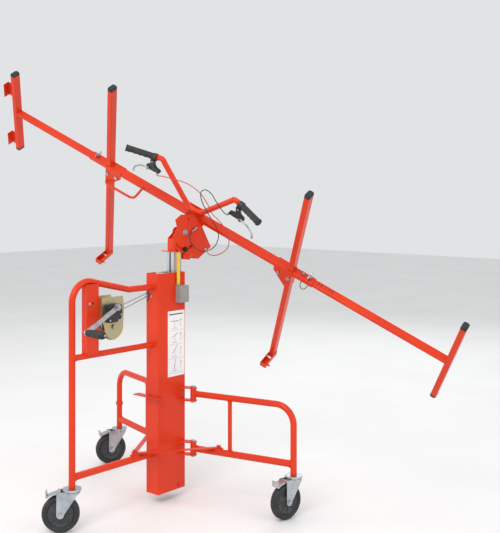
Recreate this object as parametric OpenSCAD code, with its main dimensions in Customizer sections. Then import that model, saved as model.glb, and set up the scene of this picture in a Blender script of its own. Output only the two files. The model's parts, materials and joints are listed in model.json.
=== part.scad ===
// Panel lift: a folding three-legged stand, a winch-driven telescopic mast, a tilting and
// turning head, and a cradle of rectangular tube that carries a large board.
// The origin is on the floor below the middle of the outer mast. +Z is up, and the
// operator stands on the -Y side. The cradle is drawn tilted back and turned.

/* [Mast] */
// Width of the outer mast across the operator's face
mast_w = 76; // [74:1:78]
// Depth of the outer mast, front to back
mast_d = 165; // [163:1:167]
// Height of the open top of the outer mast
mast_top = 993; // [985:1:1000]
// Height of the underside of the outer mast
mast_foot = 41; // [30:1:55]
// Wall thickness of the mast sections
mast_wall = 3; // [2:0.5:3.5]

/* [Legs] */
// Length of a folding leg, from its hinge pin to its upright
leg_reach = 490; // [460:5:500]
// Distance of the fixed leg's upright in front of the mast's axis
fixed_reach = 516; // [500:1:530]
// Angle of the right leg behind the left-to-right line
leg_b_angle = 12; // [8:1:18]
// Angle of the left leg behind the left-to-right line
leg_c_angle = 16; // [10:1:20]
// Radius of the leg tube
leg_r = 13.5; // [12.5:0.5:14]

/* [Casters] */
// Radius of the caster wheels
wheel_r = 75; // [70:1:75]
// Distance of the wheel's axle behind the swivel axis
trail = 44; // [40:1:48]
// Direction of the caster under the fixed leg
caster_a_angle = 226; // [180:1:270]
// Direction of the caster under the right leg
caster_b_angle = 260; // [200:1:280]
// Direction of the caster under the left leg
caster_c_angle = 243; // [200:1:280]

/* [Winch] */
// Radius of the rope wound on the drum
rope_wrap_r = 42; // [38:1:44]
// Radius of the drum gear
gear_r = 56; // [54:1:56]
// Radius of the crank pinion
pinion_r = 27; // [25:1:27]
// Length of the crank arm between its two axes
crank_len = 180; // [150:5:190]
// Length of the crank grip
grip_len = 102; // [90:1:110]

/* [Head] */
// Backward tilt of the head from upright
head_tilt = 31.84; // [20:0.01:45]
// Turn of the cradle, left end up
head_roll = 32.54; // [20:0.01:38]
// Height of the tilt pin
pivot_z = 1165; // [1160:1:1170]
// Distance of the beam's middle from the tilt pin
beam_n = 133; // [132:1:136]

/* [Cradle] */
// Length of the cross beam
beam_len = 1250; // [1200:10:1300]
// Depth of the rectangular tube, from operator's side to board side
tube_d = 40; // [38:1:42]
// Height of the rectangular tube
tube_h = 25; // [24:1:26]
// Distance of each arm from the middle of the beam
arm_u = 511; // [500:1:520]
// Height of the upper arms above the beam's middle
arm_top = 455; // [400:5:500]
// Depth of the lower arms below the beam's middle
arm_bottom = 623; // [560:1:640]
// Distance of the left end bar from the middle of the beam
end_left = 1108; // [1040:1:1150]
// Distance of the right end bar from the middle of the beam
end_right = 1277; // [1200:1:1290]
// Half the length of an end bar
end_half = 227; // [200:1:240]

/* [Handlebar] */
// Radius of the handlebar tube
bar_r = 12.5; // [11:0.5:12.5]
// Radius of the rubber grips
grip_r = 14.5; // [14:0.5:16]
// Distance of the handlebar's bends from the middle
bar_bend_u = 190; // [180:1:200]
// Height of the handlebar's bends above the beam
bar_bend_w = 253; // [240:1:260]

/* [Hidden] */
$fn = 48;

paint = "orangered";
zinc = "silver";
gold_zinc = "darkkhaki";
black = "dimgray";

// mast stages, in plan: x half width, then front and rear face
middle_w = 64;
middle_front = -28;
middle_rear = 78;
middle_top = 992;
inner_w = 48;
inner_front = 26;
inner_rear = 74.5;
inner_top = 1081;
stage_foot = 60;
gap = 0.3;
tape_foot = 939.3;

// rope slot in the operator's face
slot_x = -29;
slot_w = 14;
slot_low = 873.5;
slot_high = 915;
pulley_y = -72;
pulley_z = 893;
pulley_r = 16;
rope_r = 2;

// legs
upright_foot = 173.3;
bend_r = 80;
low_z = 217;
top_z = 457.5;
low_r = 14.5;
hinge_x = 85;
hinge_y = 85;
hinge_pin_r = 6;
hinge_play = 0.06;
knuckle_r = 13;
strut_at = 186;
tab_at = 130;
stay_y = -183;
stay_z = 236;

// casters
axle_r = 6;
play = 0.05;
kingpin_r = 8;
wheel_w = 38;
crown_z = 152;

// winch
drum_y = -332;
drum_z = 795;
crank_y = -340;
crank_z = 878;
crank_dir = 208.4;
crank_x = 66;
shaft_r = 7;
grip_x = crank_x + 8;

// head
pivot_y = 88;
pivot_r = 8;
clamp_r = 6;
clamp_at = 75;
fork_in = 21;
fork_out = 25;
plate_in = 26;
plate_out = 30;
roll_pin_r = 12;

// cradle: u along the beam, o towards the board, w up in the board's plane
ext_d = 34.4;
ext_h = 19.4;
ext_left_in = 385;
ext_right_in = 500;
pivot_w = -33;
lower_d = 38;
hook_w = -610;
bar_o = -32;
arm_bolt_r = 5;
screw_r = 4;
wing_left = 587;
wing_right = 600;
pin_u = 568;

// routes, as points [u, o, w] on the cradle
red_route = [
    [-193, -65.8, 192], [-193, -67.5, 192], [-193, -69.2, 192], [-190, -74, 193.3],
    [-180, -79, 197], [-150, -80, 212], [-100, -80, 228],
    [-45, -78, 243], [0, -76, 244], [47, -74, 228], [88, -74, 192], [122, -75, 150],
    [150, -75, 138], [180, -76, 120], [207, -77, 90], [221, -77, 56], [222, -76, 15],
    [208, -74, -26], [185, -72, -64], [158, -69, -96], [136, -67, -112], [120, -66, -114],
    [114.1, -66, -108.1]
];
black_route = [
    [193, -65.8, 192], [193, -67.5, 192], [193, -69.2, 192], [190, -74, 194],
    [178, -79, 202], [156, -82, 222], [132, -84, 248],
    [108, -84, 272], [80, -82, 276], [62, -80, 262], [52, -80, 240], [58, -80, 205],
    [78, -80, 172], [104, -80, 142], [132, -78, 110], [152, -72, 74], [160, -66, 32],
    [158, -66, -8], [150, -70, -40], [138, -86, -58], [119.5, -105, -65], [101, -120, -58],
    [83.3, -134, -37], [66, -138.6, -14], [52, -128, -1], [44, -113, 4.5], [41, -99, 7],
    [41.5, -86, 5.5]
];
// routes, as points [x, y, z]
rope_upper = [
    [-29, -343, 836], [-29, -225, 869], [-29, -150, 889], [-29, -100, 903],
    [-29, -84, 908], [-29, -76, 911.2], [-29, -68, 911], [-29, -60, 907.3],
    [-29, -55, 900.8], [-29, -53.4, 893], [-29, -53.4, 800], [-29, -53.4, 500],
    [-29, -53.4, 200], [-29, -53.4, 58]
];
rope_lower = [
    [-18, -322, 837], [-18, -225, 855], [-18, -150, 877], [-18, -100, 892.5],
    [-18, -82.5, 897]
];
cord_route = [
    [-576, 237, 295], [-582, 243, 294], [-592, 251, 288], [-600, 258, 277],
    [-605, 262, 262], [-608, 264, 244], [-609, 265, 226], [-610, 266, 208], [-611, 266, 196]
];

// ---------- shared shapes ----------

// Unit vector along v
function unit(v) = v / norm(v);

// Direction of the route at point i
function heading(route, i) = let (last = len(route) - 1)
    unit(route[min(i + 1, last)] - route[max(i - 1, 0)]);

// Side vectors carried along the route without twist
function carried(route, i) = i == 0
    ? unit(cross(heading(route, 0), abs(heading(route, 0)[2]) < 0.8 ? [0, 0, 1] : [1, 0, 0]))
    : let (before = carried(route, i - 1), along = heading(route, i))
        unit(before - (before * along) * along);

// Point at s on the smooth curve through the four points
function smooth(a, b, c, d, s) = 0.5 * (2 * b + (c - a) * s + (2 * a - 5 * b + 4 * c - d) * s * s
    + (3 * b - a - 3 * c + d) * s * s * s);

// The route with steps points in each span
function refined(route, steps) = let (last = len(route) - 1) [
    for (i = [0:last - 1], k = [0:steps - 1])
        smooth(route[max(i - 1, 0)], route[i], route[i + 1], route[min(i + 2, last)], k / steps),
    route[last]
];

// Tube swept along a route as one closed skin
module sweep(route, r, sides = 8) {
    rings = [
        for (i = [0:len(route) - 1])
            let (along = heading(route, i), side = carried(route, i), up = cross(along, side))
                for (k = [0:sides - 1])
                    route[i] + r * (cos(360 * k / sides) * side + sin(360 * k / sides) * up)
    ];
    last = (len(route) - 1) * sides;
    walls = [
        for (i = [0:len(route) - 2], k = [0:sides - 1])
            let (a = i * sides + k, b = i * sides + (k + 1) % sides)
                [b, a, a + sides, b + sides]
    ];
    ends = [[for (k = [0:sides - 1]) k], [for (k = [0:sides - 1]) last + sides - 1 - k]];
    polyhedron(points = rings, faces = concat(walls, ends));
}

// Round bar between two points
module rod(a, b, r) {
    along = b - a;
    translate(a)
        rotate([0, acos(along[2] / norm(along)), atan2(along[1], along[0])])
            cylinder(h = norm(along), r = r);
}

// Rectangle with rounded corners
module round_rect(x, y, r) {
    square([x - 2 * r, y], center = true);
    square([x, y - 2 * r], center = true);
    for (sx = [-1, 1], sy = [-1, 1])
        translate([sx * (x / 2 - r), sy * (y / 2 - r)]) circle(r = r);
}

// Rectangular tube along Z, from z = 0 to h
module box_tube(x, y, h, wall) {
    linear_extrude(h) difference() {
        round_rect(x, y, 4);
        round_rect(x - 2 * wall, y - 2 * wall, 1.5);
    }
}

// Flat plate in the YZ plane, from x = a to x = b
module yz_plate(a, b) {
    translate([a, 0, 0]) rotate([90, 0, 90]) linear_extrude(b - a) children();
}

// Hexagon head on Z, from z = 0 up
module hex_head(across, h) {
    cylinder(h = h, r = across / 2 / cos(30), $fn = 6);
}

// Places children in the head's frame: X, then towards the board, then up the board
module at_tilt() {
    translate([0, pivot_y, pivot_z]) rotate([head_tilt, 0, 0]) children();
}

// Places children in the cradle's frame: [u, o, w]
module at_cradle() {
    at_tilt() translate([0, beam_n, 0]) rotate([0, head_roll, 0]) children();
}

// Places children in a folding leg's frame: X along the leg from its hinge pin
module at_leg(side) {
    angle = side > 0 ? leg_b_angle : 180 - leg_c_angle;
    translate([side * hinge_x, hinge_y, 0]) rotate([0, 0, angle]) children();
}

// Plan position of a point along a folding leg
function on_leg(side, reach) = [
    side * (hinge_x + reach * cos(side > 0 ? leg_b_angle : leg_c_angle)),
    hinge_y + reach * sin(side > 0 ? leg_b_angle : leg_c_angle), 0
];

// Plan position of a folding leg's caster
function leg_end(side) = on_leg(side, leg_reach);

module at_caster(place, angle) {
    translate(place) rotate([0, 0, angle]) children();
}

// ---------- mast ----------

module hinge_ear(side, z) {
    translate([0, 0, z]) linear_extrude(6) difference() {
        union() {
            polygon([[side * 36, 45], [side * 36, 81], [side * 79, 100], [side * 92, 71]]);
            translate([side * hinge_x, hinge_y]) circle(r = 16);
        }
        translate([side * hinge_x, hinge_y]) circle(r = hinge_pin_r);
    }
}

module mast_outer() {
    color(paint) {
        difference() {
            translate([0, 0, mast_foot])
                box_tube(mast_w, mast_d, mast_top - mast_foot, mast_wall);
            translate([slot_x - slot_w / 2, -mast_d / 2 - 1, slot_low])
                cube([slot_w, 10, slot_high - slot_low]);
        }
        translate([-98, -mast_d / 2 - 21, 458]) difference() {
            cube([158, 34, 4]);
            translate([60, 21, -1]) cube([mast_w, 20, 6]);
        }
        for (side = [-1, 1], z = [187, 242, 425, 480])
            hinge_ear(side, z);
        translate([mast_w / 2, 44, 56]) rotate([0, 90, 0]) hex_head(13, 5);
        for (place = [[-18, 975], [72, 975]])
            translate([mast_w / 2 - 1, place[0], place[1]]) rotate([0, 90, 0])
                cylinder(h = 3, r = 4);
        translate([-3, -mast_d / 2 + 1, 894]) rotate([90, 0, 0]) cylinder(h = 3.5, r = 4);
        translate([-mast_w / 2 + 1, pulley_y, pulley_z]) rotate([0, 90, 0])
            cylinder(h = 20, r = 3 - play);
        translate([-21, -mast_d / 2 + mast_wall - 1, 885]) cube([3, 16, 16]);
    }
}

// Plastic slides on the mouth of the outer mast
module mast_guides() {
    color("gainsboro") translate([0, 0, mast_top - 40]) linear_extrude(40) difference() {
        translate([0, (middle_front + middle_rear) / 2])
            round_rect(mast_w - 2 * mast_wall, middle_rear - middle_front + 3, 1.5);
        translate([0, (middle_front + middle_rear) / 2])
            round_rect(middle_w + 2 * gap, middle_rear - middle_front + 2 * gap, 4 + gap);
    }
}

module mast_middle() {
    color("lightgray") {
        translate([0, (middle_front + middle_rear) / 2, stage_foot])
            box_tube(middle_w, middle_rear - middle_front, middle_top - stage_foot, mast_wall);
        difference() {
            translate([slot_x - 5.5, middle_front - 34, stage_foot]) cube([12, 34.5, 6]);
            translate([slot_x, -53.4, stage_foot - 1]) cylinder(h = 8, r = rope_r + 1);
        }
    }
}

module mast_inner() {
    depth = inner_rear - inner_front;
    color("lightgray") difference() {
        translate([0, (inner_front + inner_rear) / 2, stage_foot + 15])
            box_tube(inner_w, depth, inner_top - stage_foot - 15, mast_wall);
        translate([-4, inner_front - 1, stage_foot]) cube([8, mast_wall + 2, inner_top]);
    }
}

module pulley() {
    color(zinc) translate([slot_x, pulley_y, pulley_z]) rotate([0, 90, 0])
        rotate_extrude() polygon([
            [3, -5.5], [19, -5.5], [19, -4], [pulley_r, -2.2], [pulley_r, 2.2], [19, 4],
            [19, 5.5], [3, 5.5]
        ]);
}

module tape_box() {
    color("dimgray") {
        translate([mast_w / 2, 22.6, 861]) cube([28, 54.8, 74]);
        translate([mast_w / 2 + 2, 20, 935]) cube([12, 26, 4]);
    }
}

module tape_blade() {
    color("gold") translate([44.6, 23, tape_foot]) cube([0.8, 19, inner_top - tape_foot]);
}

// ---------- legs ----------

// Elbow in the XZ plane at the top of an upright at x, turning back to -X by the angle
module leg_bend(x, z, angle) {
    translate([x - bend_r, 0, z]) rotate([90, 0, 0])
        rotate_extrude(angle = angle) translate([bend_r, 0]) circle(r = leg_r);
}

// Tube end that takes the kingpin of a caster
module upright(x, top) {
    difference() {
        translate([x, 0, upright_foot]) cylinder(h = top - upright_foot, r = leg_r);
        translate([x, 0, upright_foot - 1]) cylinder(h = 26, r = kingpin_r + play);
    }
}

module leg_a_frame() {
    slope = 13.4;
    bend_z = 905;
    mast_face = mast_d / 2;
    flat_y = 217;
    joint_r = leg_r + 0.5;
    bend_end = [fixed_reach - bend_r - bend_r * sin(slope), 0, bend_z + bend_r * cos(slope)];
    dip = [flat_y, 0, bend_end[2] - (bend_end[0] - flat_y) * tan(slope)];
    color(paint) rotate([0, 0, -90]) {
        upright(fixed_reach, bend_z);
        leg_bend(fixed_reach, bend_z, 90 + slope);
        translate(bend_end) rotate([40, 90, 0]) sphere(r = joint_r);
        rod(bend_end, dip, leg_r);
        translate(dip) rotate([40, 90, 0]) sphere(r = joint_r);
        rod([mast_face, 0, dip[2]], dip, leg_r);
        rod([mast_face, 0, 686], [fixed_reach, 0, 686], 12.5);
        rod([mast_face, 0, 214], [fixed_reach, 0, 214], low_r);
        translate([-stay_y - 15, -14, 222]) cube([30, 28, 10]);
        translate([-stay_y, 0, 231]) cylinder(h = stay_z - gap - 231, r = 12);
        translate([-stay_y, 0, 231]) cylinder(h = 20, r = hinge_pin_r);
        translate([-stay_y, 0, 246]) hex_head(16, 7);
    }
}

module folding_leg() {
    difference() {
        union() {
            upright(leg_reach, top_z - bend_r);
            leg_bend(leg_reach, top_z - bend_r, 90);
            rod([8, 0, top_z], [leg_reach - bend_r, 0, top_z], leg_r);
            rod([8, 0, low_z], [leg_reach, 0, low_z], low_r);
            rod([strut_at, 0, low_z], [strut_at, 0, top_z], 9);
            for (z = [248 - 54.7, 486 - 54.7])
                translate([0, 0, z]) cylinder(h = 48.4, r = knuckle_r);
            translate([tab_at - 16, -12, low_z + 8]) cube([32, 24, stay_z - gap - low_z - 8]);
        }
        translate([0, 0, 180]) cylinder(h = 320, r = hinge_pin_r + hinge_play);
    }
}

module leg_b_frame() {
    color(paint) at_leg(1) folding_leg();
}

module leg_c_frame() {
    color(paint) {
        at_leg(-1) folding_leg();
        translate([0, 0, 288]) translate(leg_end(-1)) rotate([0, 0, 139]) {
            difference() {
                cylinder(h = 14, r = leg_r + 4);
                translate([0, 0, -1]) cylinder(h = 16, r = leg_r - 1);
            }
            translate([leg_r + 2, -5, 2]) cube([10, 10, 10]);
        }
    }
}

module hinge_bolts() {
    color(zinc) for (side = [-1, 1], z = [187, 425])
        translate([side * hinge_x, hinge_y, z]) {
            translate([0, 0, -6]) hex_head(17, 6);
            cylinder(h = 61, r = hinge_pin_r);
            translate([0, 0, 61]) hex_head(19, 6);
        }
}

module stay(side) {
    reach = on_leg(side, tab_at) - [0, stay_y, 0];
    translate([0, stay_y, stay_z + (side > 0 ? 0 : 4.4)])
        rotate([0, 0, atan2(reach[1], reach[0])]) {
            difference() {
                union() {
                    cylinder(h = 4, r = 14);
                    translate([0, -10, 0]) cube([norm(reach), 20, 4]);
                    translate([norm(reach), 0, 0]) cylinder(h = 4, r = 12);
                }
                translate([0, 0, -1]) cylinder(h = 6, r = hinge_pin_r + hinge_play);
            }
            translate([norm(reach), 0, 4]) hex_head(17, 7);
        }
}

module stay_b() {
    color(paint) stay(1);
}

module stay_c() {
    color(paint) stay(-1);
}

module brake_cord() {
    color(black) {
        sweep(refined(cord_route, 3), 2.2);
        translate([-611, 266, 190]) cylinder(h = 8, r1 = 6, r2 = 4);
    }
}

// ---------- casters: X trails behind the swivel axis ----------

module caster_fork() {
    color(zinc) {
        translate([0, 0, upright_foot - 8]) cylinder(h = 7.7, r = 37);
        translate([0, 0, crown_z]) cylinder(h = upright_foot - 8 - crown_z, r = 30);
        translate([0, 0, upright_foot - 8]) cylinder(h = 30, r = kingpin_r);
        for (side = [-1, 1])
            translate([0, side * 23.5 + 1.5, 0]) rotate([90, 0, 0]) linear_extrude(3) {
                polygon([
                    [-24, crown_z + 2], [-24, crown_z + 8], [40, crown_z + 12], [58, crown_z + 12],
                    [58, crown_z], [trail + 15, wheel_r], [trail - 15, wheel_r]
                ]);
                translate([trail, wheel_r]) circle(r = 15);
            }
        translate([-24, -25, crown_z + 2]) cube([46, 50, 6]);
        translate([trail, 0, wheel_r]) rotate([90, 0, 0]) {
            cylinder(h = 58, r = axle_r, center = true);
            for (flip = [0, 180])
                rotate([flip, 0, 0]) translate([0, 0, 25]) hex_head(17, 6);
        }
        translate([50, 0, 158]) rotate([90, 0, 0]) cylinder(h = 52, r = 3, center = true);
    }
}

module caster_wheel() {
    color(black) translate([trail, 0, wheel_r]) rotate([90, 0, 0]) rotate_extrude($fn = 96)
        polygon([
            [axle_r + play, -20], [20, -20], [22, -12], [48, -9], [54, -16], [64, -wheel_w / 2],
            [wheel_r - 5, -15], [wheel_r - 1, -8], [wheel_r, 0], [wheel_r - 1, 8],
            [wheel_r - 5, 15], [64, wheel_w / 2], [54, 16], [48, 9], [22, 12], [20, 20],
            [axle_r + play, 20]
        ]);
}

module caster_pedal() {
    color(zinc) difference() {
        union() {
            translate([0, 18, 0]) rotate([90, 0, 0]) linear_extrude(36) polygon([
                [46, 162], [54, 163], [84, 154], [97, 147], [99, 166], [102, 166], [101, 141],
                [96, 140], [82, 148], [54, 155], [46, 155]
            ]);
            translate([50, 0, 158]) rotate([90, 0, 0]) cylinder(h = 43, r = 6, center = true);
        }
        translate([50, 0, 158]) rotate([90, 0, 0]) cylinder(h = 60, r = 3 + play, center = true);
    }
}

// ---------- winch ----------

module winch_post() {
    color(paint) difference() {
        translate([-12, -457, 690]) cube([32, 61, 285]);
        translate([-9, -454, 680]) cube([26, 55, 300]);
        for (y = [-445, -425])
            translate([15, y, 897]) rotate([0, 90, 0]) cylinder(h = 10, r = 4.5);
    }
}

module winch_frame() {
    color(gold_zinc) {
        difference() {
            for (x = [-39, 35])
                yz_plate(x, x + 4) union() {
                    translate([drum_y, drum_z]) circle(r = 50);
                    polygon([
                        [-396, 917], [-285, 917], [-277, 880], [-283, drum_z], [-381, drum_z],
                        [-396, 830]
                    ]);
                }
            translate([-50, crank_y, crank_z]) rotate([0, 90, 0])
                cylinder(h = 100, r = shaft_r + play);
        }
        translate([-35, -396, 800]) cube([70, 4, 117]);
        translate([-43, drum_y, drum_z]) rotate([0, 90, 0]) cylinder(h = 86, r = shaft_r);
        for (x = [-47, 43])
            translate([x, drum_y, drum_z]) rotate([0, 90, 0]) hex_head(19, 4);
        translate([-35, -300, 900]) rotate([0, 90, 0]) cylinder(h = 70, r = 5);
    }
}

module winch_drum() {
    color(zinc) translate([-34, drum_y, drum_z]) rotate([0, 90, 0]) difference() {
        union() {
            cylinder(h = 2, r = 46);
            cylinder(h = 48, r = rope_wrap_r - rope_r - 0.2);
            translate([0, 0, 46]) cylinder(h = 2, r = 46);
            translate([0, 0, 56]) cylinder(h = 8, r = gear_r);
            cylinder(h = 67, r = 14);
        }
        translate([0, 0, -1]) cylinder(h = 70, r = shaft_r + play);
    }
}

module winch_cover() {
    color(black) difference() {
        translate([39, -383, 816]) cube([24, 88, 74]);
        translate([36, -380, 819]) cube([24, 82, 68]);
        translate([30, crank_y, crank_z]) rotate([0, 90, 0]) cylinder(h = 40, r = shaft_r + 1);
    }
}

module winch_crank() {
    color(zinc) translate([0, crank_y, crank_z]) {
        translate([-44, 0, 0]) rotate([0, 90, 0]) cylinder(h = crank_x + 44, r = shaft_r);
        translate([22, 0, 0]) rotate([0, 90, 0]) cylinder(h = 8, r = pinion_r);
        translate([crank_x - 2, 0, 0]) rotate([0, 90, 0]) cylinder(h = 12, r = 14);
        rotate([crank_dir, 0, 0]) {
            yz_plate(crank_x, crank_x + 6) {
                translate([0, -10]) square([crank_len, 20]);
                translate([crank_len, 0]) circle(r = 12);
            }
            translate([crank_x, crank_len, 0]) rotate([0, 90, 0])
                cylinder(h = grip_len + 12, r = 5);
        }
        translate([crank_x + 10, 0, 0]) rotate([0, 90, 0]) hex_head(17, 7);
    }
}

module crank_grip() {
    color(black) translate([0, crank_y, crank_z]) rotate([crank_dir, 0, 0])
        translate([grip_x, crank_len, 0]) rotate([0, 90, 0]) rotate_extrude() polygon([
            [5 + play, 0], [12, 0], [14, 6], [17, 60], [16.5, grip_len - 12], [12, grip_len - 2],
            [8, grip_len], [5 + play, grip_len]
        ]);
}

module winch_cable() {
    color("slategray") {
        sweep(refined(rope_upper, 2), rope_r);
        sweep(refined(rope_lower, 2), rope_r);
    }
}

// ---------- head ----------

module head_plate() {
    color(paint) translate([0, 0, inner_top]) linear_extrude(4) union() {
        translate([-48, 20]) square([96, 14]);
        translate([-fork_out, 20]) square([2 * fork_out, 60]);
    }
}

module head_fork() {
    base = inner_top + 4;
    color(paint) difference() {
        union() {
            for (x = [-fork_out, fork_in])
                yz_plate(x, x + fork_out - fork_in) {
                    polygon([
                        [35, base], [35, 1140], [66, pivot_z], [112, pivot_z], [126, 1060],
                        [126, 1041], [84, 1046], [84, base]
                    ]);
                    translate([pivot_y, pivot_z]) circle(r = 24);
                }
            translate([-fork_out, 35, base]) cube([2 * fork_out, 4, 55]);
            translate([-fork_in, 122, 1045]) cube([2 * fork_in, 4, 30]);
        }
        translate([-50, pivot_y, pivot_z]) rotate([0, 90, 0])
            cylinder(h = 100, r = pivot_r + play);
        translate([-50, pivot_y, pivot_z - clamp_at]) rotate([0, 90, 0])
            cylinder(h = 100, r = clamp_r);
    }
}

// Bolt and nuts that clamp the tilt plates to the fork
module tilt_clamp() {
    color(black) translate([0, pivot_y, pivot_z - clamp_at]) rotate([0, 90, 0]) {
        translate([0, 0, -fork_out - 4]) cylinder(h = fork_out + plate_out + 17, r = clamp_r);
        translate([0, 0, plate_out + gap]) cylinder(h = 3, r = 12);
        translate([0, 0, plate_out + gap + 3]) hex_head(18, 8);
        translate([0, 0, -fork_out - 8]) hex_head(18, 8);
    }
}

module tilt_outline() {
    polygon(concat(
        [
            [-18, 79], [23, 79], [85, 42], [107, 42], [107, -47], [106, -150], [8, -149],
            [-7, -127], [-50, -84]
        ],
        [for (a = [236:-8:180]) [90 * cos(a), 90 * sin(a)]],
        [[-73, 23], [-26, 44]]
    ));
}

// Smaller plate on the left side, clear of the clamp bolt
module tilt_cheek() {
    circle(r = 16);
    polygon([
        [0, 16], [70, 20], [107, 42], [107, -47], [106, -150], [35, -149], [14, -60], [-14, -8]
    ]);
}

// Curved slot that the clamp bolt runs in
module tilt_slot() {
    from = -183;
    to = -87;
    w = clamp_r + 0.5;
    difference() {
        circle(r = clamp_at + w);
        circle(r = clamp_at - w);
        rotate(to) translate([-200, 0]) square([400, 200]);
        rotate(from) translate([-200, -200]) square([400, 200]);
    }
    for (a = [from, to])
        rotate(a) translate([clamp_at, 0]) circle(r = w);
}

module tilt_body() {
    color(paint) at_tilt() difference() {
        union() {
            yz_plate(plate_in, plate_out) difference() {
                tilt_outline();
                tilt_slot();
                translate([52, 33.5]) circle(r = 7);
            }
            yz_plate(-plate_out, -plate_in) tilt_cheek();
            translate([-plate_in, 102, -47]) cube([2 * plate_in, 5, 89]);
            translate([-plate_in, 9, -149]) cube([2 * plate_in, 97, 4]);
        }
        translate([-50, 0, 0]) rotate([0, 90, 0]) cylinder(h = 100, r = pivot_r);
        translate([0, 98, 0]) rotate([-90, 0, 0]) cylinder(h = 20, r = roll_pin_r + play);
    }
}

module tilt_pin() {
    color(zinc) at_tilt() {
        rotate([0, 90, 0]) cylinder(h = 2 * plate_out + 10, r = pivot_r, center = true);
        for (flip = [0, 180])
            rotate([0, 90 + flip, 0]) translate([0, 0, plate_out]) {
                cylinder(h = 2, r = 13);
                translate([0, 0, 2]) hex_head(19, 8);
            }
        rod([31.5, 67, -131], [37.5, 67, -152.3], 5);
        rod([37.3, 47, -17.2], [37.3, 68, -17.2], 5);
        translate([plate_out, 61, -17.2]) rotate([0, 90, 0]) cylinder(h = 7.3, r = 3.5);
    }
}

module roll_plate() {
    color(paint) at_cradle() {
        translate([0, -25.5, 0]) rotate([-90, 0, 0]) cylinder(h = 5.5, r = 50);
        translate([0, -58, 0]) rotate([-90, 0, 0]) cylinder(h = 35, r = roll_pin_r);
        translate([0, -44, 0]) rotate([-90, 0, 0]) hex_head(36, 12.7);
    }
}

// ---------- cradle ----------

module beam() {
    color(paint) at_cradle() difference() {
        translate([-beam_len / 2, 0, 0]) rotate([0, 90, 0])
            box_tube(tube_h, tube_d, beam_len, 2.5);
        for (u = [-wing_left, wing_right, pin_u])
            translate([u, 0, 5]) cylinder(h = 20, r = screw_r);
    }
}

// Fixed upper arm and its pair of hinge plates, on one side of the beam
module upper_arm(side) {
    color(paint) at_cradle() {
        translate([side * arm_u, 0, tube_h / 2])
            box_tube(tube_h, tube_d, arm_top - tube_h / 2, 2.5);
        for (o = [-tube_d / 2, tube_d / 2 + 3])
            translate([0, o, 0]) rotate([90, 0, 0]) linear_extrude(3) difference() {
                polygon([
                    [side * 432, 12], [side * 432, -4], [side * 434, -29], [side * 498, -91],
                    [side * 524, -91], [side * 524, 12]
                ]);
                translate([side * arm_u, pivot_w]) circle(r = arm_bolt_r);
                translate([side * 459, -29]) circle(r = arm_bolt_r);
            }
    }
}

module upper_arm_left() {
    upper_arm(-1);
}

module upper_arm_right() {
    upper_arm(1);
}

module oval_cap(h) {
    linear_extrude(h - 4) round_rect(tube_h + 2, tube_d + 2, 8);
    translate([0, 0, h - 4]) linear_extrude(4) round_rect(tube_h - 2, tube_d - 2, 7);
}

module arm_caps() {
    color(black) at_cradle() for (side = [-1, 1])
        translate([side * arm_u, 0, arm_top]) oval_cap(16);
}

module arm_bolts() {
    color(zinc) at_cradle() for (side = [-1, 1], place = [[arm_u, pivot_w], [459, -29]])
        translate([side * place[0], -tube_d / 2 - 3, place[1]]) rotate([-90, 0, 0]) {
            translate([0, 0, -6]) hex_head(16, 6);
            cylinder(h = tube_d + 6, r = arm_bolt_r);
            translate([0, 0, tube_d + 6]) hex_head(16, 6);
        }
}

module carry_handle() {
    color(paint) at_cradle() sweep(refined([
        [-514, -21.5, -80], [-514, -26, -80], [-511, -32.5, -81], [-504, -37, -82.5],
        [-493, -38.5, -84], [-380, -38.5, -84], [-352, -38.5, -79], [-332, -38.5, -64],
        [-310, -38.5, -22], [-304, -36.5, -9], [-301, -31.5, -1], [-300, -25, 2],
        [-300, -18.5, 2]
    ], 4), 6, 12);
}

// Lower arm, hinged between the plates
module lower_arm(side) {
    color(paint) at_cradle() difference() {
        translate([side * arm_u, 0, -arm_bottom + 3])
            box_tube(tube_h, lower_d, arm_bottom - 3 - 18.5, 2.5);
        for (w = [pivot_w, hook_w])
            translate([side * arm_u, 0, w]) rotate([w == pivot_w ? 90 : 0, w == pivot_w ? 0 : 90, 0])
                cylinder(h = 60, r = arm_bolt_r + hinge_play, center = true);
    }
}

module arm_left() {
    lower_arm(-1);
}

module arm_right() {
    lower_arm(1);
}

// Swinging shoe at the foot of a lower arm, pointing to the operator's side
module hook(side) {
    color(paint) at_cradle() translate([side * arm_u, 0, hook_w]) {
        rotate([0, 90, 0]) cylinder(h = 32, r = arm_bolt_r, center = true);
        difference() {
            translate([-15.8, -88, -13]) cube([31.6, 62, 27]);
            translate([-12.8, -85, -10]) cube([25.6, 70, 30]);
        }
        for (u = [-15.8, 12.8])
            translate([u, -30, -13]) cube([3, 43, 26]);
        translate([15.8, -72, 0]) rotate([0, 90, 0]) cylinder(h = 14, r = 4);
    }
}

module hook_left() {
    hook(-1);
}

module hook_right() {
    hook(1);
}

// Sliding tube with an upright bar on its outer end
module extension(side, reach, inner_end) {
    length = reach - tube_h / 2 - inner_end;
    translate([side * reach, 0, -end_half]) box_tube(tube_h, tube_d, 2 * end_half, 2.5);
    translate([side > 0 ? inner_end : -inner_end - length, 0, 0]) rotate([0, 90, 0])
        box_tube(ext_h, ext_d, length, 2);
}

module extension_left() {
    color(paint) at_cradle() {
        extension(-1, end_left, ext_left_in);
        for (w = [85, -226])
            translate([-end_left - tube_h / 2 - 40, 0, w]) {
                cube([41, 3, 75]);
                translate([0, -30, 0]) cube([3, 33, 75]);
            }
    }
}

module extension_right() {
    color(paint) at_cradle() extension(1, end_right, ext_right_in);
}

module end_caps(u) {
    color(black) at_cradle() for (flip = [0, 180])
        translate([u, 0, 0]) rotate([flip, 0, 0]) translate([0, 0, end_half]) oval_cap(12);
}

module end_caps_left() {
    end_caps(-end_left);
}

module end_caps_right() {
    end_caps(end_right);
}

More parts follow.
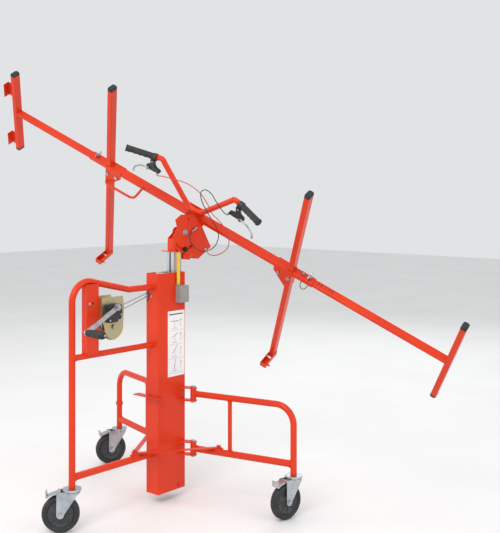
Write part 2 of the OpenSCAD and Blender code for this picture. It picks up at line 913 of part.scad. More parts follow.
// Wing-headed clamp screw on the top face of the beam
module wing_bolt(u) {
    color(zinc) at_cradle() translate([u, 0, ext_h / 2 + gap]) {
        cylinder(h = 18, r = screw_r - hinge_play);
        translate([0, 0, tube_h / 2 - ext_h / 2]) cylinder(h = 10, r = 8);
        for (side = [-1, 1])
            translate([0, side * 13, 18]) rotate([0, 90, 0]) cylinder(h = 4, r = 9, center = true);
    }
}

module wing_bolt_left() {
    wing_bolt(-wing_left);
}

module wing_bolt_right() {
    wing_bolt(wing_right);
}

// Spring pin with a pull ring, beside the right clamp screw
module lock_pin() {
    color(zinc) at_cradle() translate([pin_u, 0, ext_h / 2 + gap]) {
        cylinder(h = 16, r = screw_r - hinge_play);
        translate([0, 0, 3.2]) cylinder(h = 8, r = 6);
        translate([0, 0, 20]) rotate([90, 0, 0]) rotate_extrude() translate([6, 0]) circle(r = 1.5);
    }
}

// ---------- handlebar ----------

function bar_side(side) = [
    [side * 14, bar_o, 66.5], [side * 36, bar_o, 73], [side * 58, bar_o, 94],
    [side * (bar_bend_u - 14), bar_o, bar_bend_w - 18],
    [side * bar_bend_u, bar_o, bar_bend_w], [side * (bar_bend_u + 18), bar_o, bar_bend_w + 1],
    [side * 236, bar_o - 3, 247], [side * 345, -85, 266]
];

module handlebar() {
    route = concat([for (i = [7:-1:0]) bar_side(-1)[i]], bar_side(1));
    color(paint) at_cradle() {
        sweep(refined(route, 4), bar_r, 20);
        translate([-42, -20, tube_h / 2]) cube([84, 4, 66]);
    }
}

module grips() {
    color(black) at_cradle() for (side = [-1, 1])
        rod([side * 236, bar_o - 3, 247], [side * 355, -90, 268], grip_r);
}

module lever_mounts() {
    color(black) at_cradle() for (side = [-1, 1]) {
        rod([side * 222, bar_o - 1, 249], [side * 238, bar_o - 4, 247], 17);
        rod([side * 230, bar_o - 14, 238], [side * 236, -52, 196], 8);
        rod([side * 196, -50, 192], [side * 248, -50, 192], 7);
        rod([side * 193, -48, 192], [side * 193, -65.5, 192], 5);
        rod([side * 250, -50, 190], [side * 250, -58, 190], 9);
        rod([side * 250, -58, 190], [side * 250, -67, 190], 2.5);
    }
}

module lever(side) {
    color(zinc) at_cradle() {
        translate([side * 250, -58.3, 190]) rotate([90, 0, 0]) difference() {
            cylinder(h = 7, r = 9);
            translate([0, 0, -1]) cylinder(h = 9, r = 2.5 + play);
        }
        sweep(refined([
            [side * 257, -62, 189.5], [side * 285, -64, 186], [side * 318, -67, 160],
            [side * 324, -68, 138]
        ], 4), 4);
    }
}

module lever_left() {
    lever(-1);
}

module lever_right() {
    lever(1);
}

module cable_red() {
    color("crimson") at_cradle() sweep(refined(red_route, 3), 2);
}

module cable_black() {
    color(black) at_cradle() sweep(refined(black_route, 3), 2);
}

// ---------- the nodes ----------

mast_outer();
mast_guides();
mast_middle();
mast_inner();
pulley();
leg_a_frame();
winch_post();
winch_frame();
winch_drum();
winch_cover();
winch_crank();
crank_grip();
winch_cable();
head_plate();
head_fork();
tilt_clamp();
tape_box();
tape_blade();
tilt_body();
tilt_pin();
roll_plate();
beam();
upper_arm_left();
upper_arm_right();
arm_caps();
arm_bolts();
carry_handle();
handlebar();
grips();
lever_mounts();
lever_left();
lever_right();
cable_red();
cable_black();
arm_left();
arm_right();
hook_left();
hook_right();
extension_left();
extension_right();
end_caps_left();
end_caps_right();
wing_bolt_left();
wing_bolt_right();
lock_pin();
leg_b_frame();
leg_c_frame();
hinge_bolts();
stay_b();
stay_c();
at_caster([0, -fixed_reach, 0], caster_a_angle) caster_fork();  // caster_a_fork
at_caster([0, -fixed_reach, 0], caster_a_angle) caster_wheel();  // caster_a_wheel
at_caster([0, -fixed_reach, 0], caster_a_angle) caster_pedal();  // caster_a_pedal
at_caster(leg_end(1), caster_b_angle) caster_fork();  // caster_b_fork
at_caster(leg_end(1), caster_b_angle) caster_wheel();  // caster_b_wheel
at_caster(leg_end(1), caster_b_angle) caster_pedal();  // caster_b_pedal
at_caster(leg_end(-1), caster_c_angle) caster_fork();  // caster_c_fork
at_caster(leg_end(-1), caster_c_angle) caster_wheel();  // caster_c_wheel
at_caster(leg_end(-1), caster_c_angle) caster_pedal();  // caster_c_pedal
brake_cord();
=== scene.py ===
import json
import math

import bmesh
import bpy
from mathutils import Matrix, Vector

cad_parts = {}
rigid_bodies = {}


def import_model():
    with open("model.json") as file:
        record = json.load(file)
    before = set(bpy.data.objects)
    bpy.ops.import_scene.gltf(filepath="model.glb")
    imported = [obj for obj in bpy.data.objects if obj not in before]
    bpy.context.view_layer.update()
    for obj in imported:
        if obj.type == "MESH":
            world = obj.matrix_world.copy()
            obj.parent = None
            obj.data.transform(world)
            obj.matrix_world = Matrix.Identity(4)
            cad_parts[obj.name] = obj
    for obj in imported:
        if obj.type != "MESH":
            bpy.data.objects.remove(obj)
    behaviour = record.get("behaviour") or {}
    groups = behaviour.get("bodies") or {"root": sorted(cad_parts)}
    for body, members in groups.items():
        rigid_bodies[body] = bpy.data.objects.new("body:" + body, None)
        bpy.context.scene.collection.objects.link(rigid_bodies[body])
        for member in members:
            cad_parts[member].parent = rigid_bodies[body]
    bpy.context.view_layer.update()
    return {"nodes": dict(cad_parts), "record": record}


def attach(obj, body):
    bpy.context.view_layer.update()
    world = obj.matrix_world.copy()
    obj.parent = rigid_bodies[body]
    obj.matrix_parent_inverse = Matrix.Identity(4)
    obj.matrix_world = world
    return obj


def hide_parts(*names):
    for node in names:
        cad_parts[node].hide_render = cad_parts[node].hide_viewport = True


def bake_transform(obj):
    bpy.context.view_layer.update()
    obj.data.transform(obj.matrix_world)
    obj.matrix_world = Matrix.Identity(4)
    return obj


for leftover in list(bpy.data.objects):
    bpy.data.objects.remove(leftover)

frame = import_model()
NODES = frame["nodes"]

MM = 0.001
QUARTER = math.pi / 2
TILT = math.radians(31.84)            # head tilt in the stored pose
ROLL = math.radians(32.54)            # cradle turn in the stored pose
PIVOT = Vector((0, 88, 1165)) * MM    # middle of the tilt axis
CRADLE_OUT = 0.133                    # from the tilt axis to the cradle's own origin
AT_TILT = Matrix.Translation(PIVOT) @ Matrix.Rotation(TILT, 4, "X")
AT_CRADLE = AT_TILT @ Matrix.Translation((0, CRADLE_OUT, 0)) @ Matrix.Rotation(ROLL, 4, "Y")
IDENT = Matrix.Identity(4)
SIDES = ((-1, "left"), (1, "right"))


# ---------- materials ----------

def new_material(name):
    m = bpy.data.materials.new(name)
    m.use_nodes = True
    tree = m.node_tree
    shader = tree.nodes["Principled BSDF"]
    return m, tree, shader


def add(tree, kind, **values):
    """New node; each value sets the input of that name, or else the node's own setting."""
    node = tree.nodes.new(kind)
    for key, value in values.items():
        if key in node.inputs:
            node.inputs[key].default_value = value
        else:
            setattr(node, key, value)
    return node


NOISE_ROUGHNESS = 0.55
BEVEL_SAMPLES = 4


def noise(tree, scale, detail=4.0, stretch=(1, 1, 1)):
    coord = add(tree, "ShaderNodeTexCoord")
    mapping = add(tree, "ShaderNodeMapping", Scale=stretch)
    tex = add(tree, "ShaderNodeTexNoise", Scale=scale, Detail=detail, Roughness=NOISE_ROUGHNESS)
    tree.links.new(coord.outputs["Object"], mapping.inputs["Vector"])
    tree.links.new(mapping.outputs["Vector"], tex.inputs["Vector"])
    return tex.outputs["Fac"]


def ramp(tree, fac, stops):
    """Colour ramp through stops of (position, colour)."""
    node = add(tree, "ShaderNodeValToRGB")
    els = node.color_ramp.elements
    while len(els) < len(stops):
        els.new(0.5)
    for el, (at, colour) in zip(els, stops):
        el.position = at
        el.color = (*colour, 1)
    tree.links.new(fac, node.inputs["Fac"])
    return node.outputs["Color"]


def span(tree, fac, low, high):
    node = add(tree, "ShaderNodeMapRange", **{"To Min": low, "To Max": high})
    tree.links.new(fac, node.inputs["Value"])
    return node.outputs["Result"]


def bump(tree, shader, height, strength, distance, rounded=0.0):
    """Fine relief in metres, over edges softened to the radius rounded."""
    node = add(tree, "ShaderNodeBump", Strength=strength, Distance=distance)
    tree.links.new(height, node.inputs["Height"])
    if rounded:
        soft = add(tree, "ShaderNodeBevel", samples=BEVEL_SAMPLES, Radius=rounded)
        tree.links.new(soft.outputs["Normal"], node.inputs["Normal"])
    tree.links.new(node.outputs["Normal"], shader.inputs["Normal"])


def layered(name, stops, scale, rough, metallic=0.0, bump_scale=300, bump_mm=0.05,
            stretch=(1, 1, 1), rounded=0.0, strength=0.4):
    """Material with colour drift, uneven roughness and a fine surface relief."""
    m, tree, shader = new_material(name)
    base = noise(tree, scale, 5.0, stretch)
    tree.links.new(ramp(tree, base, stops), shader.inputs["Base Color"])
    fine = noise(tree, bump_scale, 3.0, stretch)
    tree.links.new(span(tree, fine, *rough), shader.inputs["Roughness"])
    shader.inputs["Metallic"].default_value = metallic
    bump(tree, shader, fine, strength, bump_mm * MM, rounded)
    return m


def paint_material():
    """Powder coat: orange peel, faint tone drift, and a painted highlight of lighter orange in
    specks along the edges.
    """
    m, tree, shader = new_material("orange_powder_coat")
    drift = noise(tree, 3.0, 5.0)
    base = ramp(tree, drift, [(0.3, (0.63, 0.031, 0.004)), (0.55, (0.69, 0.037, 0.004)),
                              (0.75, (0.74, 0.044, 0.005))])
    skin = add(tree, "ShaderNodeNewGeometry")
    soft = add(tree, "ShaderNodeBevel", samples=BEVEL_SAMPLES, Radius=1.6 * MM)
    turn = add(tree, "ShaderNodeVectorMath", operation="DOT_PRODUCT")
    tree.links.new(skin.outputs["Normal"], turn.inputs[0])
    tree.links.new(soft.outputs["Normal"], turn.inputs[1])
    # painted highlight: every edge turns lighter orange where edges catch light, broken into
    # specks by noise
    painted_edge_highlight = add(tree, "ShaderNodeMath", operation="MULTIPLY")
    speck = noise(tree, 60.0, 6.0)
    edges = ramp(tree, turn.outputs["Value"], [(0.84, (1, 1, 1)), (0.97, (0, 0, 0))])
    tree.links.new(edges, painted_edge_highlight.inputs[0])
    patches = ramp(tree, speck, [(0.46, (0.12, 0.12, 0.12)), (0.62, (0.8, 0.8, 0.8))])
    tree.links.new(patches, painted_edge_highlight.inputs[1])
    mix = add(tree, "ShaderNodeMix", data_type="RGBA")
    tree.links.new(painted_edge_highlight.outputs[0], mix.inputs["Factor"])
    tree.links.new(base, mix.inputs[6])
    mix.inputs[7].default_value = (0.78, 0.105, 0.030, 1)
    tree.links.new(mix.outputs[2], shader.inputs["Base Color"])
    peel = noise(tree, 420.0, 2.0)
    tree.links.new(span(tree, drift, 0.30, 0.42), shader.inputs["Roughness"])
    shader.inputs["Specular IOR Level"].default_value = 0.28
    shader.inputs["Coat Weight"].default_value = 0.08
    shader.inputs["Coat Roughness"].default_value = 0.15
    bump(tree, shader, peel, 0.25, 0.06 * MM, 1.2 * MM)
    return m


PAINT = paint_material()
ALU = layered("extruded_aluminium", [(0.3, (0.50, 0.51, 0.53)), (0.7, (0.64, 0.65, 0.67))],
              9.0, (0.28, 0.42), 0.9, 700, 0.03, (30, 30, 0.6), 0.6 * MM)
ZINC = layered("blue_white_zinc", [(0.25, (0.30, 0.35, 0.41)), (0.5, (0.46, 0.49, 0.53)),
                                   (0.75, (0.60, 0.60, 0.58))],
               26.0, (0.22, 0.38), 0.95, 260, 0.06, rounded=0.7 * MM)
GOLD = layered("yellow_zinc", [(0.25, (0.50, 0.47, 0.34)), (0.45, (0.58, 0.46, 0.20)),
                               (0.6, (0.46, 0.48, 0.34)), (0.8, (0.60, 0.36, 0.22))],
               22.0, (0.24, 0.40), 0.9, 240, 0.06, rounded=0.7 * MM)
DARK = layered("blackened_steel", [(0.3, (0.02, 0.02, 0.02)), (0.7, (0.06, 0.06, 0.065))],
               60.0, (0.35, 0.5), 0.6, 300, 0.05, rounded=0.6 * MM)
PLASTIC = layered("black_moulded_plastic",
                  [(0.3, (0.014, 0.014, 0.016)), (0.7, (0.028, 0.028, 0.03))],
                  40.0, (0.38, 0.52), 0.0, 900, 0.05, rounded=1.2 * MM)
GREY = layered("grey_moulded_plastic", [(0.3, (0.25, 0.245, 0.235)), (0.7, (0.31, 0.30, 0.29))],
               40.0, (0.42, 0.55), 0.0, 900, 0.06, rounded=1.5 * MM)
NYLON = layered("pale_nylon", [(0.3, (0.62, 0.62, 0.58)), (0.7, (0.72, 0.72, 0.68))],
                30.0, (0.45, 0.55), 0.0, 500, 0.04)
RUBBER = layered("grip_rubber", [(0.3, (0.012, 0.012, 0.013)), (0.7, (0.030, 0.030, 0.032))],
                 50.0, (0.55, 0.72), 0.0, 1200, 0.12, strength=0.6)
TYRE = layered("wheel_rubber", [(0.25, (0.010, 0.010, 0.011)), (0.6, (0.022, 0.022, 0.024)),
                                (0.85, (0.055, 0.053, 0.050))],
               24.0, (0.5, 0.75), 0.0, 500, 0.12, strength=0.5)
HUB = layered("dark_nylon_hub", [(0.3, (0.03, 0.032, 0.036)), (0.7, (0.06, 0.062, 0.066))],
              30.0, (0.4, 0.55), 0.0, 600, 0.06)
RED_CABLE = layered("red_cable_sleeve", [(0.3, (0.46, 0.022, 0.022)), (0.7, (0.60, 0.035, 0.03))],
                    200.0, (0.32, 0.45), 0.0, 900, 0.03)
BLACK_CABLE = layered("black_cable_sleeve",
                      [(0.3, (0.014, 0.014, 0.015)), (0.7, (0.03, 0.03, 0.032))],
                      200.0, (0.35, 0.5), 0.0, 900, 0.03)


def rope_material():
    """Wire rope: pale strands with painted shade in the gaps between them, laid on the slant."""
    m, tree, shader = new_material("twisted_wire_rope")
    coord = add(tree, "ShaderNodeTexCoord")
    strands = add(tree, "ShaderNodeTexWave", wave_type="BANDS", bands_direction="DIAGONAL",
                  Scale=500, Distortion=0.4)
    tree.links.new(coord.outputs["Object"], strands.inputs["Vector"])
    # the darker stop is painted shade in the gaps between strands
    tone = ramp(tree, strands.outputs["Fac"],
                [(0.35, (0.20, 0.20, 0.21)), (0.65, (0.50, 0.50, 0.50))])
    tree.links.new(tone, shader.inputs["Base Color"])
    tree.links.new(span(tree, noise(tree, 400, 3), 0.3, 0.45), shader.inputs["Roughness"])
    shader.inputs["Metallic"].default_value = 0.8
    bump(tree, shader, strands.outputs["Fac"], 0.5, 0.3 * MM)
    return m


ROPE = rope_material()
MARK_EVERY = 10 * MM
MARK_WIDE = 1.4 * MM
MARKS_UNDER_Y = 30 * MM


def tape_material():
    """Yellow blade with a black mark every ten millimetres along one edge."""
    m, tree, shader = new_material("yellow_tape_blade")
    coord = add(tree, "ShaderNodeTexCoord")
    split = add(tree, "ShaderNodeSeparateXYZ")
    tree.links.new(coord.outputs["Object"], split.inputs[0])
    step = add(tree, "ShaderNodeMath", operation="PINGPONG")
    step.inputs[1].default_value = MARK_EVERY / 2
    tree.links.new(split.outputs["Z"], step.inputs[0])
    line = add(tree, "ShaderNodeMath", operation="LESS_THAN")
    line.inputs[1].default_value = MARK_WIDE / 2
    tree.links.new(step.outputs[0], line.inputs[0])
    edge = add(tree, "ShaderNodeMath", operation="LESS_THAN")
    edge.inputs[1].default_value = MARKS_UNDER_Y
    tree.links.new(split.outputs["Y"], edge.inputs[0])
    both = add(tree, "ShaderNodeMath", operation="MULTIPLY")
    tree.links.new(line.outputs[0], both.inputs[0])
    tree.links.new(edge.outputs[0], both.inputs[1])
    mix = add(tree, "ShaderNodeMix", data_type="RGBA")
    tree.links.new(both.outputs[0], mix.inputs["Factor"])
    yellow = ramp(tree, noise(tree, 60, 4), [(0.3, (0.80, 0.52, 0.02)), (0.7, (0.90, 0.62, 0.04))])
    tree.links.new(yellow, mix.inputs[6])
    mix.inputs[7].default_value = (0.03, 0.03, 0.03, 1)
    tree.links.new(mix.outputs[2], shader.inputs["Base Color"])
    fine = noise(tree, 500, 2)
    tree.links.new(span(tree, fine, 0.3, 0.42), shader.inputs["Roughness"])
    bump(tree, shader, fine, 0.2, 0.03 * MM)
    return m


TAPE = tape_material()
SLOT_MATERIAL = {
    "paint": PAINT, "aluminium": ALU, "zinc": ZINC, "gold_zinc": GOLD, "black_steel": DARK,
    "wire_rope": ROPE, "black_plastic": PLASTIC, "grey_plastic": GREY, "nylon": NYLON,
    "tape_yellow": TAPE, "grip_rubber": RUBBER, "wheel_rubber": TYRE, "cable_red": RED_CABLE,
    "cable_black": BLACK_CABLE,
}
for sub in frame["record"]["subparts"]:
    mesh = NODES[sub["node"]].data
    mesh.materials.clear()
    mesh.materials.append(SLOT_MATERIAL[sub["material_slot"]])


# ---------- camera, light and floor ----------

# a level camera, with its picture shifted down to take in the casters
CAMERA_AT = (2.871, -2.7905, 1.352)
CAMERA_TURN = math.radians(40.5167)
LENS, SENSOR, SHIFT_DOWN = 61.30, 36, 0.1428
camera = bpy.data.objects.new("camera", bpy.data.cameras.new("camera"))
camera.location = CAMERA_AT
camera.rotation_euler = (QUARTER, 0, CAMERA_TURN)
camera.data.lens = LENS
camera.data.sensor_width = SENSOR
camera.data.shift_y = -SHIFT_DOWN
camera.data.clip_end = 60
bpy.context.scene.collection.objects.link(camera)
bpy.context.scene.camera = camera


def area(name, place, target, size, power, colour=(1, 1, 1)):
    """Square soft light at place, facing target."""
    light = bpy.data.lights.new(name, "AREA")
    light.size = size
    light.energy = power
    light.color = colour
    o = bpy.data.objects.new(name, light)
    o.location = place
    o.rotation_euler = (Vector(target) - Vector(place)).to_track_quat("-Z", "Y").to_euler()
    bpy.context.scene.collection.objects.link(o)


area("key", (1.6, -3.4, 4.2), (0, 0, 0.9), 2.6, 120, (1, 0.985, 0.96))
area("fill", (4.6, 0.6, 2.2), (0, 0, 0.9), 3.0, 36, (0.96, 0.98, 1))
area("left", (-3.4, -2.6, 2.6), (0, 0, 0.9), 3.0, 45)
area("back", (-1.5, 4.2, 3.4), (0, 0, 1.0), 3.0, 50)
world = bpy.data.worlds.new("studio")
world.use_nodes = True
world.node_tree.nodes["Background"].inputs["Color"].default_value = (0.95, 0.96, 0.98, 1)
world.node_tree.nodes["Background"].inputs["Strength"].default_value = 0.8
bpy.context.scene.world = world
bpy.context.scene.view_settings.view_transform = "Standard"

FAR = 14
floor_mesh = bpy.data.meshes.new("floor")
floor_mesh.from_pydata([(-FAR, -FAR, 0), (FAR, -FAR, 0), (FAR, FAR, 0), (-FAR, FAR, 0)], [],
                       [(0, 1, 2, 3)])
floor = bpy.data.objects.new("floor", floor_mesh)
bpy.context.scene.collection.objects.link(floor)
FLOOR = layered("pale_floor", [(0.3, (0.80, 0.80, 0.79)), (0.7, (0.84, 0.84, 0.83))],
                1.5, (0.7, 0.8), 0.0, 200, 0.02, strength=0.1)
floor_mesh.materials.append(FLOOR)


# ---------- shapes ----------

def piece(name, verts, faces, material, body, place=IDENT, smooth=True, sharp=35):
    """Object from verts in metres; edges that turn more than sharp degrees stay sharp."""
    mesh = bpy.data.meshes.new(name)
    mesh.from_pydata([place @ Vector(v) for v in verts], [], faces)
    bm = bmesh.new()
    bm.from_mesh(mesh)
    bmesh.ops.remove_doubles(bm, verts=bm.verts, dist=1e-7)
    bmesh.ops.recalc_face_normals(bm, faces=bm.faces)
    for edge in bm.edges:
        edge.smooth = edge.is_manifold and edge.calc_face_angle(0) < math.radians(sharp)
    for face in bm.faces:
        face.smooth = smooth
    bm.to_mesh(mesh)
    bm.free()
    mesh.materials.append(material)
    o = bpy.data.objects.new(name, mesh)
    bpy.context.scene.collection.objects.link(o)
    if body:
        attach(o, body)
    return o


def lathe_data(profile, steps, shape=None):
    """Closed skin of revolution about Z; profile is (radius, z) in mm from end to end."""
    verts = []
    for k, (r, z) in enumerate(profile):
        for i in range(steps):
            a = 2 * math.pi * i / steps
            rr = shape(r, z, a) if shape else r
            verts.append((rr * MM * math.cos(a), rr * MM * math.sin(a), z * MM))
    faces = []
    for k in range(len(profile) - 1):
        for i in range(steps):
            j = (i + 1) % steps
            faces.append((k * steps + i, k * steps + j, (k + 1) * steps + j, (k + 1) * steps + i))
    if profile[0] != profile[-1]:
        faces.append(tuple(reversed(range(steps))))
        last = (len(profile) - 1) * steps
        faces.append(tuple(range(last, last + steps)))
    else:
        faces = [tuple(v % ((len(profile) - 1) * steps) for v in f) for f in faces]
        verts = verts[:(len(profile) - 1) * steps]
    return verts, faces


def aimed(start, end, place=IDENT):
    """Frame at start with Z towards end, in metres."""
    a, b = place @ Vector(start), place @ Vector(end)
    return Matrix.Translation(a) @ (b - a).to_track_quat("Z", "Y").to_matrix().to_4x4()


def smooth_route(points, steps):
    """Points along a Catmull-Rom curve through every given point."""
    out = []
    last = len(points) - 1
    for i in range(last):
        a, b = Vector(points[max(i - 1, 0)]), Vector(points[i])
        c, d = Vector(points[i + 1]), Vector(points[min(i + 2, last)])
        for k in range(steps):
            s = k / steps
            out.append(0.5 * (2 * b + (c - a) * s + (2 * a - 5 * b + 4 * c - d) * s * s
                              + (3 * b - a - 3 * c + d) * s ** 3))
    out.append(Vector(points[last]))
    return out


def tube(name, route, radius, material, body, place=IDENT, sides=12, flat=1.0):
    """Swept tube along points in mm; radius is one number or a function of 0..1."""
    path = [Vector(p) * MM for p in route]
    verts, side = [], None
    for i, p in enumerate(path):
        along = (path[min(i + 1, len(path) - 1)] - path[max(i - 1, 0)]).normalized()
        if side is None:
            side = along.cross(Vector((0, 0, 1)) if abs(along.z) < 0.8 else Vector((1, 0, 0)))
        side = (side - along * side.dot(along)).normalized()
        up = along.cross(side)
        r = (radius(i / (len(path) - 1)) if callable(radius) else radius) * MM
        for k in range(sides):
            a = 2 * math.pi * k / sides
            verts.append(p + r * (math.cos(a) * side * flat + math.sin(a) * up))
    faces = []
    for i in range(len(path) - 1):
        for k in range(sides):
            j = (k + 1) % sides
            faces.append((i * sides + k, i * sides + j, (i + 1) * sides + j, (i + 1) * sides + k))
    faces.append(tuple(reversed(range(sides))))
    faces.append(tuple(range((len(path) - 1) * sides, len(path) * sides)))
    return piece(name, verts, faces, material, body, place, sharp=50)


def prism(name, outline, low, high, material, body, place=IDENT):
    """Flat outline in mm, raised along Z from low to high."""
    n = len(outline)
    verts = [(x * MM, y * MM, z * MM) for z in (low, high) for x, y in outline]
    faces = [tuple(reversed(range(n))), tuple(range(n, 2 * n))]
    faces += [(i, (i + 1) % n, n + (i + 1) % n, n + i) for i in range(n)]
    return piece(name, verts, faces, material, body, place, False)


def screw(name, radius, edge, top, crown, steps, material, body, place, core=0.3, foot=0.0):
    """Round head standing on foot: upright to edge, then chamfered to the flat crown at top."""
    profile = [(core, foot), (radius, foot), (radius, edge), (crown, top), (core, top)]
    verts, faces = lathe_data(profile, steps)
    piece(name, verts, faces, material, body, place)


# ---------- details ----------

# ---- handlebar grips with finger grooves ----
GRIP_LEN = 132.0
GRIP_INNER = (236, -35, 247)
GRIP_OUTER = (355, -90, 268)
GROOVES = (10, 112)      # stretch with the finger grooves, along the grip
FIRST_GROOVE = 16
GROOVE_PITCH = 24.0
GROOVE_DEEP = 2.2
RIBS_TO = 126
RIB_PITCH, RIB_HIGH = 4.0, 0.25


def mirrored(point, side):
    x, y, z = point
    return Vector((side * x, y, z))


for side, tag in SIDES:
    base = mirrored(GRIP_INNER, side) * MM
    tip = mirrored(GRIP_OUTER, side) * MM
    spot = aimed(base, tip, AT_CRADLE)
    down = spot.to_3x3().inverted() @ (AT_CRADLE.to_3x3() @ Vector((0, -0.3, -1)))
    down_angle = math.atan2(down.y, down.x)

    def grooved(r, z, a, down_angle=down_angle):
        """Finger grooves on the underside, then fine ribs all round towards the tip."""
        if GROOVES[0] < z < GROOVES[1]:
            under = 0.5 + 0.5 * math.cos(a - down_angle)
            dip = 0.5 + 0.5 * math.cos((z - FIRST_GROOVE) / GROOVE_PITCH * 2 * math.pi)
            return r - GROOVE_DEEP * under * under * (1 - dip)
        if GROOVES[1] <= z < RIBS_TO:
            return r + RIB_HIGH * math.cos(z * 2 * math.pi / RIB_PITCH)
        return r

    profile = [(12.9, 0), (17, 0), (17.6, 1.5), (17, 4), (14.6, 6)]
    profile += [(14.7, 6 + k * 1.5) for k in range(1, 80)]
    profile += [(14.8, 127), (16.5, 129), (16.2, 131), (12, GRIP_LEN)]
    verts, faces = lathe_data(profile, 40, grooved)
    grip = piece("grip_" + tag, verts, faces, RUBBER, "cradle", spot, sharp=60)
    if side < 0:
        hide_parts("grips")

# ---- brake cables, bending across the turning joint; points run from lever to tilt plate ----
RED = [
    (-193, -65.8, 192), (-193, -67.5, 192), (-193, -69.2, 192), (-190, -74, 193.3),
    (-180, -79, 197), (-150, -80, 212), (-100, -80, 228),
    (-45, -78, 243), (0, -76, 244), (47, -74, 228), (88, -74, 192), (122, -75, 150),
    (150, -75, 138), (180, -76, 120), (207, -77, 90), (221, -77, 56), (222, -76, 15),
    (208, -74, -26), (185, -72, -64), (158, -69, -96), (136, -67, -112), (120, -66, -114),
    (114.1, -66, -108.1)]
BLACK = [
    (193, -65.8, 192), (193, -67.5, 192), (193, -69.2, 192), (190, -74, 194),
    (178, -79, 202), (156, -82, 222), (132, -84, 248),
    (108, -84, 272), (80, -82, 276), (62, -80, 262), (52, -80, 240), (58, -80, 205),
    (78, -80, 172), (104, -80, 142), (132, -78, 110), (152, -72, 74), (160, -66, 32),
    (158, -66, -8), (150, -70, -40), (138, -86, -58), (119.5, -105, -65), (101, -120, -58),
    (83.3, -134, -37), (66, -138.6, -14), (52, -128, -1), (44, -113, 4.5), (41, -99, 7),
    (41.5, -86, 5.5)]
CABLE_R = 2.0
FERRULE_THIN, FERRULE_THICK = 2.4, 3.3
for name, route, skin in (("cable_red", RED, RED_CABLE), ("cable_black", BLACK, BLACK_CABLE)):
    fine = smooth_route(route, 8)
    cable = tube(name + "_sleeve", fine, CABLE_R, skin, None, AT_CRADLE, 14)
    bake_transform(cable)
    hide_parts(name)
    tube(name + "_lever_ferrule", fine[:7], lambda s: FERRULE_THICK - 0.9 * s, ZINC,
         "cradle", AT_CRADLE, 16)
    tube(name + "_plate_ferrule", fine[-9:], lambda s: FERRULE_THIN + 0.9 * s, ZINC,
         "head", AT_CRADLE, 16)

# ---- brake levers: tapered blades with a ball end ----
LEVER = [(243, -61.5, 190), (262, -62, 190.5), (285, -64, 186), (304, -66, 176),
         (318, -67, 160), (324, -68, 138)]
BALL_AT = (324, -68, 137)
BALL_R = 5.6
for side, tag in SIDES:
    blade = smooth_route([mirrored(p, side) for p in LEVER], 6)
    tube("lever_blade_" + tag, blade, lambda s: 6.2 - 2.4 * s, ZINC, "lever_" + tag,
         AT_CRADLE, 16, 0.55)
    ball = [(BALL_R * math.sin(math.pi * k / 12) + 0.02, -BALL_R * math.cos(math.pi * k / 12))
            for k in range(13)]
    verts, faces = lathe_data(ball, 24)
    spot = AT_CRADLE @ Matrix.Translation(mirrored(BALL_AT, side) * MM)
    piece("lever_ball_" + tag, verts, faces, ZINC, "lever_" + tag, spot, sharp=80)

# ---- moulded bodies of the lever mounts ----
BOOT = [(218, 244), (243, 240), (241, 222), (245, 209), (263, 199), (264, 184), (256, 180),
        (214, 181), (193, 184), (189, 190), (191, 199), (209, 203), (219, 212), (221, 226)]
BOOT_MID_U, BOOT_MID_W, BOOT_INSET = 230, 205, 0.93
UPRIGHT = AT_CRADLE @ Matrix.Rotation(QUARTER, 4, "X")
for side, tag in SIDES:
    outline = [(side * u, w) for u, w in BOOT]
    inner = [(side * (BOOT_MID_U + (u - BOOT_MID_U) * BOOT_INSET),
              BOOT_MID_W + (w - BOOT_MID_W) * BOOT_INSET) for u, w in BOOT]
    prism("lever_boot_" + tag, outline, 43, 55, PLASTIC, "cradle", UPRIGHT)
    prism("lever_boot_face_" + tag, inner, 54.5, 57.4, PLASTIC, "cradle", UPRIGHT)
    spot = UPRIGHT @ Matrix.Translation(Vector((side * 231, 236, 55)) * MM)
    screw("clamp_screw_" + tag, 4, 3.6, 4.4, 3, 24, ZINC, "cradle", spot)

# ---- winch drum: toothed gear, flanges and rope wraps ----
DRUM = Matrix.Translation(Vector((0, -332, 795)) * MM) @ Matrix.Rotation(QUARTER, 4, "Y")
TEETH = 72
ROOT_R, TOOTH_R = 53.2, 55.9
GEAR_LOW, GEAR_HIGH = 22.2, 29.8
TOOTH = ((0.0, ROOT_R), (0.28, ROOT_R), (0.42, TOOTH_R), (0.70, TOOTH_R), (0.84, ROOT_R))
gear = []
for k in range(TEETH):
    for share, r in TOOTH:
        a = 2 * math.pi * (k + share) / TEETH
        gear.append((r * math.cos(a), r * math.sin(a)))
prism("winch_gear", gear, GEAR_LOW, GEAR_HIGH, GOLD, "drum", DRUM)
BORE_R, FLANGE_R, CORE_R = 7.06, 46, 39.8
body_profile = [(BORE_R, -34), (FLANGE_R, -34), (FLANGE_R, -32), (CORE_R, -32), (CORE_R, 12),
                (FLANGE_R, 12), (FLANGE_R, 14), (CORE_R, 14), (CORE_R, 15), (20, 18),
                (18, GEAR_LOW), (18, GEAR_HIGH), (14, 31), (14, 33), (BORE_R, 33), (BORE_R, -34)]
verts, faces = lathe_data(body_profile, 72)
drum = piece("winch_drum_body", verts, faces, GOLD, "drum", DRUM)
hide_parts("winch_drum")
ROPE_R = 2.0
WRAP_R = 41.9
WRAPS, WRAP_STEPS = 9.75, 560
WRAP_FROM, WRAP_RUN = -29.8, 39.5
wraps = [(WRAP_R * math.cos(a), WRAP_R * math.sin(a), WRAP_FROM + WRAP_RUN * t)
         for t, a in ((i / WRAP_STEPS, 2 * math.pi * WRAPS * i / WRAP_STEPS)
                      for i in range(WRAP_STEPS + 1))]
tube("winch_rope_wraps", wraps, ROPE_R, ROPE, "drum", DRUM, 8)
RIVETS = 5
RIVET_RING = 0.034
